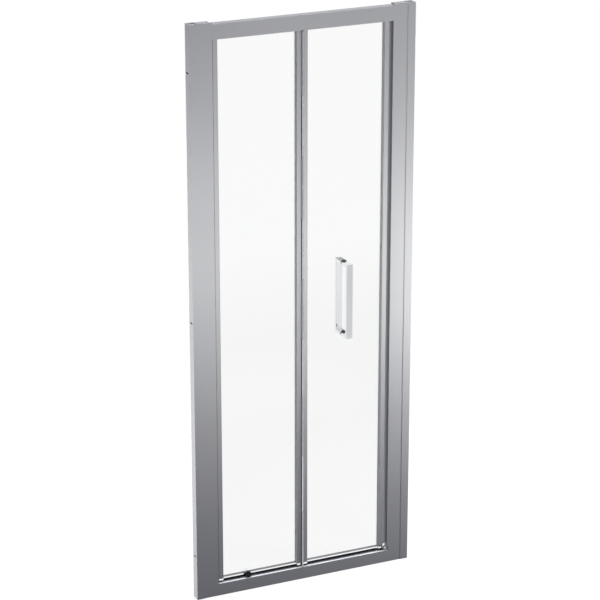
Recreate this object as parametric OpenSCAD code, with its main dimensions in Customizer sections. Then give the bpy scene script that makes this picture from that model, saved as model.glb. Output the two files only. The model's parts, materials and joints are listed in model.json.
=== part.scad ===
// Bifold (infold) shower door for a recess or a side panel.
// Two framed glass leaves, joined by a front piano hinge, fold inwards (+Y)
// between two jambs that slide in wall channels.
// Frame: +X right seen from outside, -Y outside, +Y inside the shower, +Z up.
// Origin: middle of the width, glass plane, underside of the sill.

/* [Overall] */
// Width over the two wall channels
door_w = 760; // [700:10:900]
// Height of channels and jambs
door_h = 1900; // [1700:10:2000]
// Largest opening angle of the pivot leaf
fold_limit = 82.8; // [60:0.1:82.8]

/* [Wall channels and jambs] */
// Front width of a wall channel
channel_w = 26; // [24:1:40]
// Wall thickness of a channel
channel_t = 1.5; // [1.2:0.1:2]
// Clearance between channel and jamb
channel_fit = 0.2; // [0.1:0.05:0.4]
// Jamb width in front, past the channel
jamb_face_w = 50; // [44:1:64]
// How far the jamb slides into the channel
jamb_insert = 17; // [14:1:20]
// Jamb depth, front to back
jamb_depth = 28; // [27:0.5:32]
// Jamb front face, measured from the glass plane
front_y = 17.5; // [17.5:0.25:19]
// Wall thickness of the extrusions
wall_t = 1.8; // [1.4:0.1:2.2]
// Depth of the rebate behind the jamb's front lip
rebate_w = 5; // [4.5:0.25:7]
// Thickness of the front lip
lip_t = 4.2; // [3.6:0.2:4.6]
// Thickness of the top cover of a jamb
cap_t = 1.5; // [1:0.25:3]
// Length of the slots for the wall screws
wall_slot_l = 20; // [14:1:24]
// Width of the slots for the wall screws
wall_slot_w = 5; // [4:0.25:6.5]
// Height of the end slots from the ends
wall_slot_end = 150; // [120:5:250]

/* [Head and sill] */
// Height of the head rail's front face
head_h = 48; // [44:1:60]
// Distance of the head's top below the jamb tops
head_drop = 5; // [3:0.5:10]
// How far the fascia hangs below the head's box
fascia_h = 21; // [18:0.5:24]
// Thickness of the fascia
fascia_t = 1.5; // [1.2:0.1:1.6]
// Height of the sill
sill_h = 42.5; // [36:0.5:50]
// Width of the guide grooves
groove_w = 8; // [8:0.1:8.6]
// Depth of the guide grooves
groove_d = 16; // [15:0.5:17]
// Edge break on the visible edges of head and sill
edge_break = 0.8; // [0.4:0.1:1.2]

/* [Leaves] */
// Gap between jamb lip and pivot stile
pivot_gap = 2; // [1.2:0.1:2.5]
// Width from lead stile to the strike jamb's lip
strike_w = 12.7; // [12:0.1:24]
// Width of the two outer stiles
outer_stile_w = 16; // [15.5:0.25:20]
// Width of the two stiles at the middle hinge
hinge_stile_w = 14.4; // [14.2:0.2:20]
// Depth of the stiles
stile_d = 22; // [20:0.25:23]
// Front face of the stiles, measured from the glass plane
stile_front = 15; // [14:0.25:15]
// Corner radius of the stiles
stile_r = 1.5; // [1.25:0.25:2]
// Gap between the two hinge stiles
centre_gap = 8.4; // [8:0.1:9]
// Gap between sill and leaves
floor_gap = 9; // [8.5:0.25:10]
// Gap between head and leaves
head_gap = 4; // [3.6:0.2:6]
// Height of the leaves' bottom rails
bottom_rail_h = 5.5; // [5:0.25:8]
// Height of the leaves' top rails
top_rail_h = 12; // [10:0.5:18]
// Height of the blocks that close the stiles' ends
block_h = 12; // [11.5:0.5:18]
// Depth of the leaves' rails
rail_d = 10; // [9.6:0.2:12]
// Pivot axis, from the outer face of its stile
pivot_inset = 5.5; // [5.2:0.1:6]

/* [Glass and seals] */
// Glass thickness
glass_t = 6; // [5:0.5:6]
// Depth of the glass slots
slot_d = 7; // [6.5:0.25:7.5]
// Clearance of the glass on each face
glass_fit = 0.15; // [0.1:0.05:0.25]
// Gap at the edges of the glass
glass_edge = 0.3; // [0.2:0.05:0.6]
// Height of the glazing beads on the bottom rails
bead_h = 5.8; // [4:0.2:8]
// Height of the drip seals under the leaves
drip_h = 7.4; // [6:0.1:8]
// Thickness of the drip seals
drip_t = 3; // [2:0.25:4]
// Depth of the strike seal's bulb
strike_d = 13; // [10:0.5:15]
// Gap between lead stile and strike seal
strike_gap = 2.2; // [1.8:0.1:3]

/* [Middle hinge] */
// Diameter of the knuckles
knuckle_d = 5.6; // [5.4:0.1:5.8]
// Diameter of the hinge pin
hinge_pin_d = 3; // [2.6:0.1:3.2]
// Hinge axis, in front of the stiles' faces
hinge_stand = 2.2; // [2.1:0.1:2.4]
// Number of knuckles
knuckles = 9; // [5:2:15]
// Gap between neighbouring knuckles
knuckle_gap = 0.5; // [0.3:0.1:1]

/* [Pivots and guides] */
// Diameter of the pivot and guide pins
pin_d = 5; // [4:0.25:5.5]
// Running clearance of pins, on the radius
pin_fit = 0.05; // [0.03:0.01:0.08]
// Depth of the pins in the end blocks
pin_grip = 10; // [8:0.5:11]
// Diameter of the bush and guide flanges
bush_d = 15; // [13:0.5:16]
// Clearance of shoes and bushes in the grooves
shoe_fit = 0.25; // [0.15:0.05:0.35]
// Length of the guide shoes
shoe_l = 16; // [12:1:24]
// Thickness of the guide carriage's plate
plate_t = 3; // [2.4:0.1:3.4]
// Radius of the front roller
roller_r = 9.5; // [8:0.25:9.5]
// Width of the front roller
roller_w = 4.6; // [4:0.1:5]
// Roller axle, to the right of the guide pin
roller_offset = 12.3; // [11.5:0.1:12.3]
// Diameter of the roller's axle
axle_d = 4; // [3:0.25:5]
// Radius of the travel stop
stop_r = 10.5; // [8:0.25:11]
// Thickness of the travel stop
stop_w = 8; // [5:0.25:8]

/* [Handles] */
// Length of a handle
handle_l = 250; // [150:5:400]
// Width of a handle
handle_w = 22; // [16:1:28]
// Thickness of a handle's bar
handle_t = 9; // [7:0.5:12]
// Height of a handle's two arms
arm_h = 10; // [9:0.5:14]
// Projection of a handle from the glass plane
handle_reach = 45; // [40:1:50]
// Height of the handles' middle
handle_z = 955; // [850:5:1050]
// Distance of the handles from the hinge axis
handle_from_hinge = 152.1; // [120:0.1:180]
// Edge radius of the handles
handle_r = 2; // [1:0.25:3]
// Thickness of the washers on the glass
washer_t = 1.2; // [0.8:0.1:2]
// Diameter of the through studs
stud_d = 8; // [6:0.5:8]
// Diameter of the holes in the glass
glass_hole_d = 12; // [10:0.5:14]

/* [Fasteners] */
// Diameter of the frame screws
screw_d = 3.5; // [3:0.25:4]
// Clearance of screws, on the radius
screw_fit = 0.1; // [0.05:0.05:0.2]
// Length of the corner screws' shanks
corner_screw_l = 22; // [16:1:30]
// Diameter of the screw covers
cover_d = 12; // [10:0.5:14]

/* [Hidden] */
$fn = 40;
eps = 0.01;

// across the door, measured from the left wall face
jamb_in = channel_w + jamb_face_w;
jamb_out = channel_w - jamb_insert;
rebate_u = jamb_in - rebate_w;
back_y = jamb_depth - front_y;
channel_d = jamb_depth + 2*(channel_t + channel_fit);
stile_left = jamb_in + pivot_gap;
stile_right = door_w - jamb_in - strike_w;
pivot_u = stile_left + pivot_inset;
guide_u = stile_right - pivot_inset;
mid_u = (pivot_u + guide_u)/2;
leaf_l = mid_u - pivot_u;
stile_back = stile_d - stile_front;
hinge_y = -(stile_front + hinge_stand);
left_leaf_in = stile_left + outer_stile_w;
left_leaf_out = mid_u - centre_gap/2 - hinge_stile_w;
right_leaf_in = mid_u + centre_gap/2 + hinge_stile_w;
right_leaf_out = stile_right - outer_stile_w;

// heights
head_top = door_h - head_drop;
head_z = head_top - head_h;
box_z = head_z + fascia_h;
leaf_z0 = sill_h + floor_gap;
leaf_z1 = box_z - head_gap;
stile_z0 = leaf_z0 + block_h;
stile_z1 = leaf_z1 - block_h;
hinge_z0 = sill_h + 1.2;
hinge_z1 = head_z - 2;
knuckle_pitch = (hinge_z1 - hinge_z0 + knuckle_gap)/knuckles;
bottom_slot_z = 1.8;
top_slot_z = 4.3;
stile_wall = 2.2;
web_z0 = leaf_z0 + 0.5;
web_bite = 3;
web_sink = 0.6;
web_fit = 0.15;
cap_plug_h = 4.5;

// pins, bushes, guides
pin_r = pin_d/2;
bore_r = pin_r + pin_fit;
shoe_w = groove_w - 2*shoe_fit;
shoe_h = 11;
plate_z = sill_h + 1.6;
flange_t = floor_gap - 0.6;
top_flange_t = head_gap - 0.6;
pin_reach = shoe_h - 3;
plate_back = 5;
plate_side = 7;
ledge_gap = 0.2;
roller_y = front_y - 0.7;
roller_z = sill_h + roller_r + ledge_gap;
lug_t = 2.5;
lug_y = -(roller_y - roller_w - 0.4);
lug_w = 9.4;
axle_head_r = 3.6;
axle_head_t = 1.2;
roller_play = 0.5;
roller_near = roller_offset - roller_r;
roller_top = roller_z + roller_r + roller_play;
roller_swing = sqrt(pow(roller_near, 2) + pow(roller_y - roller_w, 2) - pow(pivot_inset, 2));
stop_gap = 0.5;
guide_limit_u = pivot_u + 2*leaf_l*cos(fold_limit) - 2*hinge_y*sin(fold_limit);
stop_u = guide_limit_u + roller_offset - roller_r - stop_gap - stop_r;
stop_z = sill_h + stop_r;

// screws: places in the rails' sections, as [from the glass plane, height]
port_r = screw_d/2 + 1.6;
port_bore_r = screw_d/2 + 0.05;
screw_head_r = 2.9;
port_merge = 0.4;
lip_nip = 0.3;
head_play = 0.15;
port_front_y = -(front_y - lip_t - port_r + lip_nip);
port_back_y = back_y - wall_t - screw_head_r - head_play;
head_port_z = head_top - wall_t - port_r + port_merge;
sill_port_z = wall_t + port_r - port_merge;
port_ys = [port_front_y, port_back_y];
screw_head_t = 2;
fix_u = channel_w/2 + 3;
fix_end = door_h*0.16;
fix_lift = 60;
fix_zs = [fix_end, door_h/2 + fix_lift, door_h - fix_end];
wall_slot_zs = [wall_slot_end, door_h/2, door_h - wall_slot_end];
cover_t = 2.6;

// handles
handle_u = mid_u + handle_from_hinge;
handle_base = glass_t/2 + washer_t;
arm_zs = [handle_z - handle_l/2 + arm_h/2, handle_z + handle_l/2 - arm_h/2];
washer_r = 10;
stud_bite = 12;
stud_l = 2*(handle_base + stud_bite);

metal = [0.72, 0.73, 0.75];
polished = [0.88, 0.89, 0.9];
dark = [0.16, 0.16, 0.17];
grey = [0.34, 0.35, 0.36];
clear = [0.8, 0.92, 0.92, 0.35];

// ---------- helpers ----------

// work in distances from the left wall face
module at_wall(tint) {
    color(tint) translate([-door_w/2, 0, 0]) children();
}

// the same piece on the right-hand side
module mirrored() {
    translate([door_w, 0, 0]) mirror([1, 0, 0]) children();
}

// a section drawn in (depth, height), run along the width
module run_x(u0, u1) {
    translate([u0, 0, 0]) rotate([90, 0, 90]) linear_extrude(u1 - u0) children();
}

// a section drawn in plan, run up the height
module run_z(z0, z1) {
    translate([0, 0, z0]) linear_extrude(z1 - z0) children();
}

// a round bar along Y, from y0 to y1
module bar_y(r, y0, y1) {
    translate([0, y0, 0]) rotate([-90, 0, 0]) cylinder(r = r, h = y1 - y0);
}

// a rectangle from corner to corner
module box2(x0, y0, x1, y1) {
    translate([x0, y0]) square([x1 - x0, y1 - y0]);
}

// a rectangle whose four corners are round
module rounded2(x0, y0, x1, y1, r) {
    box2(x0 + r, y0, x1 - r, y1);
    box2(x0, y0 + r, x1, y1 - r);
    for (x = [x0 + r, x1 - r], y = [y0 + r, y1 - r])
        translate([x, y]) circle(r);
}

// ---------- fixed frame ----------

// U-shaped channel that is screwed to the wall
module wall_channel_left() {
    y0 = -(front_y + channel_fit + channel_t);
    at_wall(metal) difference() {
        run_z(0, door_h) difference() {
            box2(0, y0, channel_w, y0 + channel_d);
            box2(channel_t, y0 + channel_t, channel_w + 1, y0 + channel_d - channel_t);
        }
        for (z = wall_slot_zs)
            translate([-1, y0 + channel_d/2, z]) rotate([0, 90, 0])
                run_z(0, channel_t + 2) {
                    s = (wall_slot_l - wall_slot_w)/2;
                    box2(-wall_slot_w/2, -s, wall_slot_w/2, s);
                    for (y = [-s, s]) translate([0, y]) circle(d = wall_slot_w);
                }
        for (z = fix_zs)
            translate([fix_u, 0, z])
                bar_y(screw_d/2 + screw_fit, back_y, back_y + channel_t + 1);
    }
}

module wall_channel_right() {
    mirror([1, 0, 0]) wall_channel_left();
}

// plan section of a jamb: a hollow box with a rebated inner side
module jamb_section() {
    difference() {
        union() {
            box2(jamb_out, -front_y, rebate_u, back_y);
            box2(rebate_u - eps, -front_y, jamb_in, -front_y + lip_t);
        }
        web_u = channel_w + 4;
        box2(jamb_out + wall_t, -front_y + wall_t, web_u, back_y - wall_t);
        box2(web_u + wall_t, -front_y + wall_t, rebate_u - wall_t, back_y - wall_t);
        box2(rebate_u, -front_y + 1.2, jamb_in - 1.2, -front_y + lip_t - 1.2);
    }
}

module jamb_left() {
    at_wall(metal) difference() {
        run_z(0, door_h - cap_t) jamb_section();
        for (y = port_ys, z = [head_port_z, sill_port_z]) {
            translate([rebate_u - wall_t - 1, y, z]) rotate([0, 90, 0])
                cylinder(r = screw_d/2 + screw_fit, h = wall_t + 2);
            translate([jamb_out - 1, y, z]) rotate([0, 90, 0])
                cylinder(r = screw_head_r + 0.3, h = channel_w - jamb_out + 8);
        }
        for (z = fix_zs)
            translate([fix_u, 0, z])
                bar_y(screw_d/2 + screw_fit, back_y - wall_t - 1, back_y + 1);
    }
}

// the other jamb, whose front lip is cut back where the roller parks
module jamb_right() {
    at_wall(metal) difference() {
        translate([door_w/2, 0, 0]) mirror([1, 0, 0]) jamb_left();
        translate([door_w - jamb_in - 1, -front_y - 1, sill_h])
            cube([rebate_w + 1, lip_t + 1.1, roller_top + 1 - sill_h]);
    }
}

// moulded cover on top of a jamb, with a plug in the hollow
module jamb_cap_left() {
    z1 = door_h - cap_t;
    at_wall(dark) {
        run_z(z1, door_h) {
            box2(channel_w + channel_fit, -front_y, rebate_u, back_y);
            box2(rebate_u - eps, -front_y, jamb_in, -front_y + lip_t);
        }
        run_z(z1 - cap_plug_h, z1 + eps) difference() {
            box2(channel_w + 6.2, -front_y + wall_t + 0.2,
                 rebate_u - wall_t - 0.2, back_y - wall_t - 0.2);
            box2(channel_w + 8, -front_y + wall_t + 2,
                 rebate_u - wall_t - 2, back_y - wall_t - 2);
        }
    }
}

module jamb_cap_right() {
    mirror([1, 0, 0]) jamb_cap_left();
}

// head: hollow box with a groove for the top guide
module head_section() {
    g = groove_w/2;
    box_y = -front_y + fascia_t;
    difference() {
        polygon([[box_y, box_z], [back_y - edge_break, box_z], [back_y, box_z + edge_break],
            [back_y, head_top - edge_break], [back_y - edge_break, head_top],
            [box_y, head_top]]);
        box2(-g, box_z - 1, g, box_z + groove_d);
        difference() {
            box2(port_front_y - port_r + port_merge, box_z + wall_t,
                 -g - wall_t, head_top - wall_t);
            translate([port_front_y, head_port_z]) circle(port_r);
        }
        difference() {
            box2(g + wall_t, box_z + wall_t, back_y - wall_t, head_top - wall_t);
            translate([port_back_y, head_port_z]) circle(port_r);
        }
        for (y = port_ys) translate([y, head_port_z]) circle(port_bore_r);
    }
}

// room at the ends of head and sill for the jambs' front lips
module lip_room(z0, z1) {
    for (u = [rebate_u - 1, door_w - jamb_in])
        translate([u, -front_y - 1, z0]) cube([rebate_w + 1, lip_t + 1, z1 - z0]);
}

module head_rail() {
    at_wall(metal) difference() {
        run_x(rebate_u, door_w - rebate_u) head_section();
        lip_room(head_z - 1, head_top + 1);
    }
}

// cover strip on the head's front, which hangs below it and hides the leaves' top rails
module head_fascia() {
    y0 = -front_y;
    at_wall(metal) run_x(jamb_in, door_w - jamb_in)
        polygon([[y0, head_z + edge_break], [y0 + edge_break, head_z],
            [y0 + fascia_t, head_z], [y0 + fascia_t, head_top],
            [y0 + edge_break, head_top], [y0, head_top - edge_break]]);
}

// sill: hollow threshold with a flat ledge in front and a groove
module sill_section() {
    g = groove_w/2;
    difference() {
        polygon([[-front_y, 0], [back_y, 0], [back_y, sill_h - 2],
            [back_y - 2, sill_h], [-front_y + edge_break, sill_h],
            [-front_y, sill_h - edge_break]]);
        box2(-g, sill_h - groove_d, g, sill_h + 1);
        difference() {
            box2(-front_y + wall_t, wall_t, -g - wall_t, sill_h - wall_t);
            translate([port_front_y, sill_port_z]) circle(port_r);
        }
        box2(-g, wall_t, g, sill_h - groove_d - wall_t);
        difference() {
            box2(g + wall_t, wall_t, back_y - wall_t, sill_h - wall_t - 1.5);
            translate([port_back_y, sill_port_z]) circle(port_r);
        }
        for (y = port_ys) translate([y, sill_port_z]) circle(port_bore_r);
    }
}

module sill_rail() {
    at_wall(metal) difference() {
        run_x(rebate_u, door_w - rebate_u) sill_section();
        lip_room(-1, sill_h + 1);
        translate([stop_u, -front_y + stop_w/2 + 1, sill_h - wall_t - 1])
            cylinder(r = screw_d/2 + 0.05, h = wall_t + 2);
    }
}

// self-tapping screws through the jambs into the rails' screw ports
module corner_screws() {
    at_wall(polished)
        for (y = port_ys, z = [head_port_z, sill_port_z]) {
            translate([rebate_u - wall_t, y, z]) screw_x();
            mirrored() translate([rebate_u - wall_t, y, z]) screw_x();
        }
}

// pan-head screw whose shank points along +X from its seat
module screw_x() {
    rotate([0, 90, 0]) {
        cylinder(d = screw_d, h = wall_t + corner_screw_l);
        translate([0, 0, -screw_head_t]) difference() {
            cylinder(r = screw_head_r, h = screw_head_t);
            translate([0, 0, -eps]) cylinder(r = 1.4, h = 1.2, $fn = 6);
        }
    }
}

// screws that fix each jamb in its channel from inside the shower
module fixing_screws() {
    seat_y = back_y + channel_fit + channel_t;
    at_wall(polished) for (z = fix_zs) {
        translate([fix_u, seat_y, z]) screw_back();
        mirrored() translate([fix_u, seat_y, z]) screw_back();
    }
}

module screw_back() {
    bar_y(screw_d/2, -channel_t - channel_fit - wall_t - 5, eps);
    difference() {
        bar_y(screw_head_r, 0, screw_head_t);
        translate([0, screw_head_t - 1.2, 0]) rotate([-90, 0, 0])
            cylinder(r = 1.4, h = 2, $fn = 6);
    }
}

// snap-on covers over the fixing screws
module screw_covers() {
    seat_y = back_y + channel_fit + channel_t;
    at_wall(polished) for (z = fix_zs) {
        translate([fix_u, seat_y, z]) cover();
        mirrored() translate([fix_u, seat_y, z]) cover();
    }
}

module cover() {
    rotate([-90, 0, 0]) rotate_extrude() difference() {
        polygon([[0, 0], [cover_d/2, 0], [cover_d/2, cover_t - 0.6],
            [cover_d/2 - 0.8, cover_t + 0.4], [0, cover_t + 0.4]]);
        box2(-1, -1, screw_head_r + 0.6, cover_t - 0.4);
    }
}

// ---------- pivots ----------

// moulded bush: block in the groove, flange outside, pin bore through
module bush(flange) {
    difference() {
        union() {
            translate([-shoe_l/2, -shoe_w/2, -shoe_h]) cube([shoe_l, shoe_w, shoe_h + eps]);
            cylinder(d = bush_d, h = flange);
        }
        translate([0, 0, -shoe_h - 1]) cylinder(r = bore_r, h = shoe_h + flange + 2);
    }
}

module pivot_bush_bottom() {
    at_wall(grey) translate([pivot_u, 0, sill_h]) bush(flange_t);
}

module pivot_bush_top() {
    at_wall(grey) translate([pivot_u, 0, box_z]) mirror([0, 0, 1]) bush(top_flange_t);
}

// a pin at the foot and one at the head of a stile
module end_pins(u) {
    translate([u, 0, sill_h - pin_reach])
        cylinder(r = pin_r, h = pin_reach + floor_gap + pin_grip);
    translate([u, 0, leaf_z1 - pin_grip])
        cylinder(r = pin_r, h = pin_grip + head_gap + pin_reach);
}

module pivot_pins() {
    at_wall(polished) end_pins(pivot_u);
}

module guide_pins() {
    at_wall(polished) end_pins(guide_u);
}

// ---------- seals and stop on the frame ----------

// magnetic strike profile on the closing jamb
module strike_seal() {
    u0 = stile_right + strike_gap;
    u1 = door_w - rebate_u;
    z0 = sill_h + 2*roller_r + 2;
    at_wall(grey) run_z(z0, leaf_z1 - 0.5) difference() {
        union() {
            rounded2(u0, -strike_d/2, u1 - 2, strike_d/2, 1.2);
            box2(u1 - 4, -strike_d/2 - 2, u1, strike_d/2 + 2);
        }
        box2(u0 + 6, -strike_d/2 + 1.4, u1 - 4, strike_d/2 - 1.4);
    }
}

// lip seal behind the front lip, at the pivot side
module pivot_seal() {
    y0 = -front_y + lip_t;
    at_wall(dark) run_z(sill_h + 0.3, box_z - 0.3) {
        box2(rebate_u + 0.2, y0, jamb_in, y0 + 1.2);
        box2(rebate_u + 0.2, y0, rebate_u + 1.4, y0 + 2);
    }
}

// rubber bumper on the ledge, where the guide's roller ends its run
module travel_stop() {
    y0 = -front_y + 0.7;
    at_wall(dark) translate([stop_u, 0, stop_z]) difference() {
        union() {
            bar_y(stop_r - 0.6, y0, y0 + stop_w);
            bar_y(stop_r, y0 + 0.6, y0 + stop_w - 0.6);
            translate([-5, y0 + 1, -stop_r]) cube([10, stop_w - 2, 4]);
        }
        translate([0, y0 + stop_w/2 + 0.3, -stop_r - 1]) cylinder(r = screw_d/2 + 0.05, h = 9);
    }
}

module stop_screw() {
    at_wall(polished) translate([stop_u, -front_y + stop_w/2 + 1, sill_h - wall_t - 3])
        cylinder(d = screw_d, h = wall_t + 3 + 7);
}

// ---------- leaves ----------

// plan section of a stile; glass side towards +X, other side radius r_out
module stile_section(w, r_out) {
    difference() {
        union() {
            rounded2(w/2 - stile_r, -stile_front, w, stile_back, stile_r);
            rounded2(0, -stile_front, w/2 + stile_r, stile_back, r_out);
        }
        box2(w - slot_d, -glass_t/2 - glass_fit, w + 1, glass_t/2 + glass_fit);
    }
}

// hollow stile with a chamber beside the glass slot
module stile_body(w, r_out) {
    run_z(stile_z0, stile_z1) difference() {
        stile_section(w, r_out);
        box2(wall_t, -stile_front + stile_wall, w - slot_d - wall_t, stile_back - stile_wall);
    }
}

// end blocks close a stile at foot and head
module end_blocks(w, r_out) {
    run_z(leaf_z0, stile_z0) stile_section(w, r_out);
    run_z(stile_z1, leaf_z1) stile_section(w, r_out);
}

// the same with bores for the pins
module bored_blocks(w, inset) {
    difference() {
        end_blocks(w, stile_r);
        translate([inset, 0, leaf_z0 - 1]) cylinder(r = pin_r + 0.02, h = pin_grip + 1);
        translate([inset, 0, leaf_z1 - pin_grip]) cylinder(r = pin_r + 0.02, h = pin_grip + 1);
    }
}

// rail section in (depth, height): a channel that holds the glass
module leaf_rail_section(h, slot_z) {
    difference() {
        rounded2(-rail_d/2, 0, rail_d/2, h, 0.8);
        box2(-glass_t/2 - glass_fit, slot_z, glass_t/2 + glass_fit, h + 1);
    }
}

module leaf_rails_bottom(u0, u1) {
    run_x(u0, u1) translate([0, leaf_z0]) leaf_rail_section(bottom_rail_h, bottom_slot_z);
}

module leaf_rails_top(u0, u1) {
    run_x(u0, u1) translate([0, leaf_z1]) mirror([0, 1])
        leaf_rail_section(top_rail_h, top_slot_z);
}

// glass pane, held in the slots of stiles and rails
module pane(u0, u1) {
    e = slot_d - glass_edge;
    z0 = leaf_z0 + bottom_slot_z + glass_edge;
    z1 = leaf_z1 - top_slot_z - glass_edge;
    translate([u0 - e, -glass_t/2, z0]) cube([u1 - u0 + 2*e, glass_t, z1 - z0]);
}

// beads on both faces of the glass, on top of the bottom rail
module beads(u0, u1) {
    z0 = leaf_z0 + bottom_rail_h;
    run_x(u0, u1) for (s = [-1, 1])
        scale([s, 1]) box2(glass_t/2 + 0.05, z0, rail_d/2 - 0.6, z0 + bead_h);
}

// soft fin between a leaf and the sill
module drip(u0, u1) {
    run_x(u0, u1) box2(-drip_t/2, leaf_z0 - drip_h, drip_t/2, leaf_z0);
}

// interlocking knuckles of the middle hinge: first is 0 or 1, side is -1 or 1
module knuckle_row(first, side) {
    for (i = [first : 2 : knuckles - 1]) {
        z0 = hinge_z0 + i*knuckle_pitch;
        z1 = z0 + knuckle_pitch - knuckle_gap;
        translate([mid_u, hinge_y, 0]) {
            run_z(z0, z1) circle(d = knuckle_d);
            run_z(max(z0, web_z0), z1) scale([side, 1]) polygon([[0, 0.4], [0, knuckle_d/2],
                [centre_gap/2, knuckle_d/2 + 0.1],
                [centre_gap/2 + web_bite, hinge_stand + web_sink],
                [centre_gap/2 + web_bite, hinge_stand - 0.4], [centre_gap/2, 0.4]]);
        }
    }
}

module hinge_bore() {
    translate([mid_u, hinge_y, hinge_z0 - 1])
        cylinder(r = hinge_pin_d/2 + pin_fit, h = hinge_z1 - hinge_z0 + 2);
}

// --- pivot leaf ---

module pivot_glass() {
    at_wall(clear) pane(left_leaf_in, left_leaf_out);
}

module pivot_stile() {
    at_wall(metal) translate([stile_left, 0, 0]) stile_body(outer_stile_w, stile_r);
}

module hinge_stile_left() {
    at_wall(metal) difference() {
        union() {
            translate([left_leaf_out + hinge_stile_w, 0, 0]) mirror([1, 0, 0])
                stile_body(hinge_stile_w, 1);
            knuckle_row(0, -1);
        }
        hinge_bore();
    }
}

module pivot_bottom_rail() {
    at_wall(polished) leaf_rails_bottom(left_leaf_in, left_leaf_out);
}

module pivot_top_rail() {
    at_wall(metal) leaf_rails_top(left_leaf_in, left_leaf_out);
}

module pivot_glazing_beads() {
    at_wall(grey) beads(left_leaf_in, left_leaf_out);
}

module pivot_drip_seal() {
    at_wall(dark) drip(left_leaf_in, left_leaf_out + hinge_stile_w);
}

module pivot_end_blocks() {
    at_wall(polished) {
        translate([stile_left, 0, 0]) bored_blocks(outer_stile_w, pivot_inset);
        difference() {
            translate([left_leaf_out + hinge_stile_w, 0, 0]) mirror([1, 0, 0])
                end_blocks(hinge_stile_w, 1);
            translate([mid_u - centre_gap/2 - web_bite - web_fit, -stile_front - 1, leaf_z0 - 1])
                cube([web_bite + web_fit + 1, 1 + web_sink + web_fit, block_h + 1]);
        }
    }
}

// soft strip that closes the gap between the hinge stiles
module centre_seal() {
    u = left_leaf_out + hinge_stile_w;
    at_wall(dark) run_z(stile_z0, stile_z1) {
        box2(u, -9, u + 1.2, 3);
        box2(u, -5, u + centre_gap - 0.8, -3);
    }
}

module hinge_pin() {
    at_wall(polished) translate([mid_u, hinge_y, hinge_z0])
        cylinder(d = hinge_pin_d, h = hinge_z1 - hinge_z0);
}

// --- lead leaf ---

// a pane with the two holes for the handles' studs
module lead_glass() {
    at_wall(clear) difference() {
        pane(right_leaf_in, right_leaf_out);
        for (z = arm_zs) translate([handle_u, 0, z])
            bar_y(glass_hole_d/2, -glass_t/2 - 1, glass_t/2 + 1);
    }
}

module lead_stile() {
    at_wall(metal) difference() {
        translate([stile_right, 0, 0]) mirror([1, 0, 0])
            stile_body(outer_stile_w, stile_r);
        translate([stile_right - 0.9, -4.1, stile_z0 - 1])
            cube([2, 8.2, stile_z1 - stile_z0 + 2]);
    }
}

// magnetic strip, let into the closing face
module lead_magnet() {
    at_wall(dark) run_z(stile_z0, stile_z1)
        box2(stile_right - 0.9, -4, stile_right + 0.2, 4);
}

module hinge_stile_right() {
    at_wall(metal) difference() {
        union() {
            translate([right_leaf_in - hinge_stile_w, 0, 0]) stile_body(hinge_stile_w, 1);
            knuckle_row(1, 1);
        }
        hinge_bore();
    }
}

module lead_bottom_rail() {
    at_wall(polished) leaf_rails_bottom(right_leaf_in, right_leaf_out);
}

module lead_top_rail() {
    at_wall(metal) leaf_rails_top(right_leaf_in, right_leaf_out);
}

module lead_glazing_beads() {
    at_wall(grey) beads(right_leaf_in, right_leaf_out);
}

module lead_drip_seal() {
    at_wall(dark) drip(right_leaf_in - hinge_stile_w, right_leaf_out);
}

// the block above the guide is set back from the stile's front, for the roller
module lead_end_blocks() {
    at_wall(polished) {
        difference() {
            translate([stile_right, 0, 0]) mirror([1, 0, 0])
                bored_blocks(outer_stile_w, pivot_inset);
            translate([right_leaf_out - 1, -stile_front - 1, leaf_z0 - 1])
                cube([outer_stile_w + 2, stile_front + 1 - roller_swing + roller_play,
                      block_h + 1]);
        }
        translate([right_leaf_in - hinge_stile_w, 0, 0]) end_blocks(hinge_stile_w, 1);
    }
}

// ---------- handles ----------

// flat bar on two square arms, drawn for the inside
module handle() {
    z0 = handle_z - handle_l/2;
    y0 = handle_reach - handle_t;
    difference() {
        union() {
            run_z(z0, z0 + handle_l)
                rounded2(handle_u - handle_w/2, y0, handle_u + handle_w/2, handle_reach, handle_r);
            for (z = arm_zs)
                translate([handle_u - handle_w/2, handle_base, z - arm_h/2])
                    cube([handle_w, y0 + handle_r - handle_base, arm_h]);
        }
        for (z = arm_zs) translate([handle_u, 0, z])
            bar_y(stud_d/2 + 0.02, handle_base - 1, stud_l/2);
    }
}

module handle_inner() {
    at_wall(polished) handle();
}

module handle_outer() {
    at_wall(polished) mirror([0, 1, 0]) handle();
}

// studs through the glass that pull the two handles together
module handle_studs() {
    at_wall(metal) for (z = arm_zs) translate([handle_u, 0, z])
        bar_y(stud_d/2, -stud_l/2, stud_l/2);
}

// washers with a sleeve that keeps the stud off the glass
module handle_washers() {
    at_wall(dark) for (z = arm_zs, s = [-1, 1])
        translate([handle_u, 0, z]) rotate([-90*s, 0, 0]) rotate_extrude() difference() {
            union() {
                box2(0, glass_t/2, washer_r, handle_base);
                box2(0, 0.2, glass_hole_d/2 - 0.1, glass_t/2 + eps);
            }
            box2(-1, 0, stud_d/2 + 0.05, handle_base + 1);
        }
}

// ---------- guides ----------

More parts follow.
